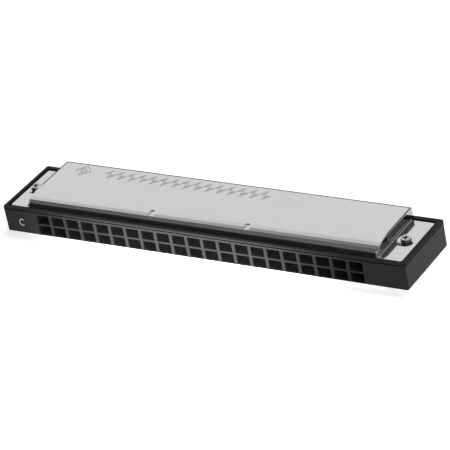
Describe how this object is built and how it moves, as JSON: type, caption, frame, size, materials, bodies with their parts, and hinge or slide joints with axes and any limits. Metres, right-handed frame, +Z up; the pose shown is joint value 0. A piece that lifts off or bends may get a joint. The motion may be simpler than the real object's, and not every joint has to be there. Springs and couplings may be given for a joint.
{
  "type": "harmonica",
  "caption": "Tremolo harmonica: black comb with two rows of square holes, bright domed covers, brass reed plates and sprung reeds.",
  "frame": {"origin": "bottom centre of the bounding box: under the middle of the comb, on the surface that the lower cover lies on", "axes": "+X along the harmonica from the low notes to the high notes, +Y from the mouth side to the open back, +Z up through the upper cover"},
  "size_m": [0.172, 0.0314, 0.0189],
  "materials": {
    "comb_plastic": "moulded black ABS, satin",
    "cover_chrome": "polished sheet, slightly soft reflections",
    "plate_brass": "milled",
    "reed_brass": "filed",
    "screw_steel": "nickel plated"
  },
  "bodies": {
    "comb": {"comb_body": "comb_plastic", "upper_reed_plate": "plate_brass", "upper_cover": "cover_chrome", "upper_cover_screws": "screw_steel", "upper_plate_pins": "plate_brass", "upper_reed_feet": "reed_brass", "upper_reed_rivets": "reed_brass", "lower_reed_plate": "plate_brass", "lower_cover": "cover_chrome", "lower_cover_screws": "screw_steel", "lower_plate_pins": "plate_brass", "lower_reed_feet": "reed_brass", "lower_reed_rivets": "reed_brass"},
    "upper_reed_01": {"upper_reed_01": "reed_brass"},
    "upper_reed_02": {"upper_reed_02": "reed_brass"},
    "upper_reed_03": {"upper_reed_03": "reed_brass"},
    "upper_reed_04": {"upper_reed_04": "reed_brass"},
    "upper_reed_05": {"upper_reed_05": "reed_brass"},
    "upper_reed_06": {"upper_reed_06": "reed_brass"},
    "upper_reed_07": {"upper_reed_07": "reed_brass"},
    "upper_reed_08": {"upper_reed_08": "reed_brass"},
    "upper_reed_09": {"upper_reed_09": "reed_brass"},
    "upper_reed_10": {"upper_reed_10": "reed_brass"},
    "upper_reed_11": {"upper_reed_11": "reed_brass"},
    "upper_reed_12": {"upper_reed_12": "reed_brass"},
    "upper_reed_13": {"upper_reed_13": "reed_brass"},
    "upper_reed_14": {"upper_reed_14": "reed_brass"},
    "upper_reed_15": {"upper_reed_15": "reed_brass"},
    "upper_reed_16": {"upper_reed_16": "reed_brass"},
    "upper_reed_17": {"upper_reed_17": "reed_brass"},
    "upper_reed_18": {"upper_reed_18": "reed_brass"},
    "upper_reed_19": {"upper_reed_19": "reed_brass"},
    "upper_reed_20": {"upper_reed_20": "reed_brass"},
    "upper_reed_21": {"upper_reed_21": "reed_brass"},
    "lower_reed_01": {"lower_reed_01": "reed_brass"},
    "lower_reed_02": {"lower_reed_02": "reed_brass"},
    "lower_reed_03": {"lower_reed_03": "reed_brass"},
    "lower_reed_04": {"lower_reed_04": "reed_brass"},
    "lower_reed_05": {"lower_reed_05": "reed_brass"},
    "lower_reed_06": {"lower_reed_06": "reed_brass"},
    "lower_reed_07": {"lower_reed_07": "reed_brass"},
    "lower_reed_08": {"lower_reed_08": "reed_brass"},
    "lower_reed_09": {"lower_reed_09": "reed_brass"},
    "lower_reed_10": {"lower_reed_10": "reed_brass"},
    "lower_reed_11": {"lower_reed_11": "reed_brass"},
    "lower_reed_12": {"lower_reed_12": "reed_brass"},
    "lower_reed_13": {"lower_reed_13": "reed_brass"},
    "lower_reed_14": {"lower_reed_14": "reed_brass"},
    "lower_reed_15": {"lower_reed_15": "reed_brass"},
    "lower_reed_16": {"lower_reed_16": "reed_brass"},
    "lower_reed_17": {"lower_reed_17": "reed_brass"},
    "lower_reed_18": {"lower_reed_18": "reed_brass"},
    "lower_reed_19": {"lower_reed_19": "reed_brass"},
    "lower_reed_20": {"lower_reed_20": "reed_brass"},
    "lower_reed_21": {"lower_reed_21": "reed_brass"}
  },
  "joints": [
    {"name": "upper_reed_01_spring", "type": "hinge", "parent": "comb", "child": "upper_reed_01", "pos_m": [-0.0682, 0.0088, 0.01325], "axis": [1, 0, 0], "range_deg": [-3, 3], "stiffness_Nm_per_rad": 0.0277},
    {"name": "upper_reed_02_spring", "type": "hinge", "parent": "comb", "child": "upper_reed_02", "pos_m": [-0.06148, -0.00566, 0.01425], "axis": [1, 0, 0], "range_deg": [-2.9, 2.9], "stiffness_Nm_per_rad": 0.0282},
    {"name": "upper_reed_03_spring", "type": "hinge", "parent": "comb", "child": "upper_reed_03", "pos_m": [-0.05476, 0.00852, 0.01325], "axis": [1, 0, 0], "range_deg": [-2.9, 2.9], "stiffness_Nm_per_rad": 0.0288},
    {"name": "upper_reed_04_spring", "type": "hinge", "parent": "comb", "child": "upper_reed_04", "pos_m": [-0.04804, -0.00538, 0.01425], "axis": [1, 0, 0], "range_deg": [-2.8, 2.8], "stiffness_Nm_per_rad": 0.0294},
    {"name": "upper_reed_05_spring", "type": "hinge", "parent": "comb", "child": "upper_reed_05", "pos_m": [-0.04132, 0.00824, 0.01325], "axis": [1, 0, 0], "range_deg": [-2.8, 2.8], "stiffness_Nm_per_rad": 0.03},
    {"name": "upper_reed_06_spring", "type": "hinge", "parent": "comb", "child": "upper_reed_06", "pos_m": [-0.0346, -0.0051, 0.01425], "axis": [1, 0, 0], "range_deg": [-2.7, 2.7], "stiffness_Nm_per_rad": 0.0307},
    {"name": "upper_reed_07_spring", "type": "hinge", "parent": "comb", "child": "upper_reed_07", "pos_m": [-0.02788, 0.00796, 0.01325], "axis": [1, 0, 0], "range_deg": [-2.6, 2.6], "stiffness_Nm_per_rad": 0.0313},
    {"name": "upper_reed_08_spring", "type": "hinge", "parent": "comb", "child": "upper_reed_08", "pos_m": [-0.02116, -0.00482, 0.01425], "axis": [1, 0, 0], "range_deg": [-2.6, 2.6], "stiffness_Nm_per_rad": 0.032},
    {"name": "upper_reed_09_spring", "type": "hinge", "parent": "comb", "child": "upper_reed_09", "pos_m": [-0.01444, 0.00768, 0.01325], "axis": [1, 0, 0], "range_deg": [-2.5, 2.5], "stiffness_Nm_per_rad": 0.0328},
    {"name": "upper_reed_10_spring", "type": "hinge", "parent": "comb", "child": "upper_reed_10", "pos_m": [-0.00772, -0.00454, 0.01425], "axis": [1, 0, 0], "range_deg": [-2.5, 2.5], "stiffness_Nm_per_rad": 0.0335},
    {"name": "upper_reed_11_spring", "type": "hinge", "parent": "comb", "child": "upper_reed_11", "pos_m": [-0.001, 0.0074, 0.01325], "axis": [1, 0, 0], "range_deg": [-2.4, 2.4], "stiffness_Nm_per_rad": 0.0343},
    {"name": "upper_reed_12_spring", "type": "hinge", "parent": "comb", "child": "upper_reed_12", "pos_m": [0.00572, -0.00426, 0.01425], "axis": [1, 0, 0], "range_deg": [-2.3, 2.3], "stiffness_Nm_per_rad": 0.0352},
    {"name": "upper_reed_13_spring", "type": "hinge", "parent": "comb", "child": "upper_reed_13", "pos_m": [0.01244, 0.00712, 0.01325], "axis": [1, 0, 0], "range_deg": [-2.3, 2.3], "stiffness_Nm_per_rad": 0.0361},
    {"name": "upper_reed_14_spring", "type": "hinge", "parent": "comb", "child": "upper_reed_14", "pos_m": [0.01916, -0.00398, 0.01425], "axis": [1, 0, 0], "range_deg": [-2.2, 2.2], "stiffness_Nm_per_rad": 0.037},
    {"name": "upper_reed_15_spring", "type": "hinge", "parent": "comb", "child": "upper_reed_15", "pos_m": [0.02588, 0.00684, 0.01325], "axis": [1, 0, 0], "range_deg": [-2.2, 2.2], "stiffness_Nm_per_rad": 0.038},
    {"name": "upper_reed_16_spring", "type": "hinge", "parent": "comb", "child": "upper_reed_16", "pos_m": [0.0326, -0.0037, 0.01425], "axis": [1, 0, 0], "range_deg": [-2.1, 2.1], "stiffness_Nm_per_rad": 0.039},
    {"name": "upper_reed_17_spring", "type": "hinge", "parent": "comb", "child": "upper_reed_17", "pos_m": [0.03932, 0.00656, 0.01325], "axis": [1, 0, 0], "range_deg": [-2, 2], "stiffness_Nm_per_rad": 0.0401},
    {"name": "upper_reed_18_spring", "type": "hinge", "parent": "comb", "child": "upper_reed_18", "pos_m": [0.04604, -0.00342, 0.01425], "axis": [1, 0, 0], "range_deg": [-2, 2], "stiffness_Nm_per_rad": 0.0413},
    {"name": "upper_reed_19_spring", "type": "hinge", "parent": "comb", "child": "upper_reed_19", "pos_m": [0.05276, 0.00628, 0.01325], "axis": [1, 0, 0], "range_deg": [-1.9, 1.9], "stiffness_Nm_per_rad": 0.0425},
    {"name": "upper_reed_20_spring", "type": "hinge", "parent": "comb", "child": "upper_reed_20", "pos_m": [0.05948, -0.00314, 0.01425], "axis": [1, 0, 0], "range_deg": [-1.9, 1.9], "stiffness_Nm_per_rad": 0.0438},
    {"name": "upper_reed_21_spring", "type": "hinge", "parent": "comb", "child": "upper_reed_21", "pos_m": [0.0662, 0.006, 0.01325], "axis": [1, 0, 0], "range_deg": [-1.8, 1.8], "stiffness_Nm_per_rad": 0.0452},
    {"name": "lower_reed_01_spring", "type": "hinge", "parent": "comb", "child": "lower_reed_01", "pos_m": [-0.0682, 0.0088, 0.00565], "axis": [1, 0, 0], "range_deg": [-3, 3], "stiffness_Nm_per_rad": 0.0277},
    {"name": "lower_reed_02_spring", "type": "hinge", "parent": "comb", "child": "lower_reed_02", "pos_m": [-0.06148, -0.00566, 0.00465], "axis": [1, 0, 0], "range_deg": [-2.9, 2.9], "stiffness_Nm_per_rad": 0.0282},
    {"name": "lower_reed_03_spring", "type": "hinge", "parent": "comb", "child": "lower_reed_03", "pos_m": [-0.05476, 0.00852, 0.00565], "axis": [1, 0, 0], "range_deg": [-2.9, 2.9], "stiffness_Nm_per_rad": 0.0288},
    {"name": "lower_reed_04_spring", "type": "hinge", "parent": "comb", "child": "lower_reed_04", "pos_m": [-0.04804, -0.00538, 0.00465], "axis": [1, 0, 0], "range_deg": [-2.8, 2.8], "stiffness_Nm_per_rad": 0.0294},
    {"name": "lower_reed_05_spring", "type": "hinge", "parent": "comb", "child": "lower_reed_05", "pos_m": [-0.04132, 0.00824, 0.00565], "axis": [1, 0, 0], "range_deg": [-2.8, 2.8], "stiffness_Nm_per_rad": 0.03},
    {"name": "lower_reed_06_spring", "type": "hinge", "parent": "comb", "child": "lower_reed_06", "pos_m": [-0.0346, -0.0051, 0.00465], "axis": [1, 0, 0], "range_deg": [-2.7, 2.7], "stiffness_Nm_per_rad": 0.0307},
    {"name": "lower_reed_07_spring", "type": "hinge", "parent": "comb", "child": "lower_reed_07", "pos_m": [-0.02788, 0.00796, 0.00565], "axis": [1, 0, 0], "range_deg": [-2.6, 2.6], "stiffness_Nm_per_rad": 0.0313},
    {"name": "lower_reed_08_spring", "type": "hinge", "parent": "comb", "child": "lower_reed_08", "pos_m": [-0.02116, -0.00482, 0.00465], "axis": [1, 0, 0], "range_deg": [-2.6, 2.6], "stiffness_Nm_per_rad": 0.032},
    {"name": "lower_reed_09_spring", "type": "hinge", "parent": "comb", "child": "lower_reed_09", "pos_m": [-0.01444, 0.00768, 0.00565], "axis": [1, 0, 0], "range_deg": [-2.5, 2.5], "stiffness_Nm_per_rad": 0.0328},
    {"name": "lower_reed_10_spring", "type": "hinge", "parent": "comb", "child": "lower_reed_10", "pos_m": [-0.00772, -0.00454, 0.00465], "axis": [1, 0, 0], "range_deg": [-2.5, 2.5], "stiffness_Nm_per_rad": 0.0335},
    {"name": "lower_reed_11_spring", "type": "hinge", "parent": "comb", "child": "lower_reed_11", "pos_m": [-0.001, 0.0074, 0.00565], "axis": [1, 0, 0], "range_deg": [-2.4, 2.4], "stiffness_Nm_per_rad": 0.0343},
    {"name": "lower_reed_12_spring", "type": "hinge", "parent": "comb", "child": "lower_reed_12", "pos_m": [0.00572, -0.00426, 0.00465], "axis": [1, 0, 0], "range_deg": [-2.3, 2.3], "stiffness_Nm_per_rad": 0.0352},
    {"name": "lower_reed_13_spring", "type": "hinge", "parent": "comb", "child": "lower_reed_13", "pos_m": [0.01244, 0.00712, 0.00565], "axis": [1, 0, 0], "range_deg": [-2.3, 2.3], "stiffness_Nm_per_rad": 0.0361},
    {"name": "lower_reed_14_spring", "type": "hinge", "parent": "comb", "child": "lower_reed_14", "pos_m": [0.01916, -0.00398, 0.00465], "axis": [1, 0, 0], "range_deg": [-2.2, 2.2], "stiffness_Nm_per_rad": 0.037},
    {"name": "lower_reed_15_spring", "type": "hinge", "parent": "comb", "child": "lower_reed_15", "pos_m": [0.02588, 0.00684, 0.00565], "axis": [1, 0, 0], "range_deg": [-2.2, 2.2], "stiffness_Nm_per_rad": 0.038},
    {"name": "lower_reed_16_spring", "type": "hinge", "parent": "comb", "child": "lower_reed_16", "pos_m": [0.0326, -0.0037, 0.00465], "axis": [1, 0, 0], "range_deg": [-2.1, 2.1], "stiffness_Nm_per_rad": 0.039},
    {"name": "lower_reed_17_spring", "type": "hinge", "parent": "comb", "child": "lower_reed_17", "pos_m": [0.03932, 0.00656, 0.00565], "axis": [1, 0, 0], "range_deg": [-2, 2], "stiffness_Nm_per_rad": 0.0401},
    {"name": "lower_reed_18_spring", "type": "hinge", "parent": "comb", "child": "lower_reed_18", "pos_m": [0.04604, -0.00342, 0.00465], "axis": [1, 0, 0], "range_deg": [-2, 2], "stiffness_Nm_per_rad": 0.0413},
    {"name": "lower_reed_19_spring", "type": "hinge", "parent": "comb", "child": "lower_reed_19", "pos_m": [0.05276, 0.00628, 0.00565], "axis": [1, 0, 0], "range_deg": [-1.9, 1.9], "stiffness_Nm_per_rad": 0.0425},
    {"name": "lower_reed_20_spring", "type": "hinge", "parent": "comb", "child": "lower_reed_20", "pos_m": [0.05948, -0.00314, 0.00465], "axis": [1, 0, 0], "range_deg": [-1.9, 1.9], "stiffness_Nm_per_rad": 0.0438},
    {"name": "lower_reed_21_spring", "type": "hinge", "parent": "comb", "child": "lower_reed_21", "pos_m": [0.0662, 0.006, 0.00565], "axis": [1, 0, 0], "range_deg": [-1.8, 1.8], "stiffness_Nm_per_rad": 0.0452}
  ]
}
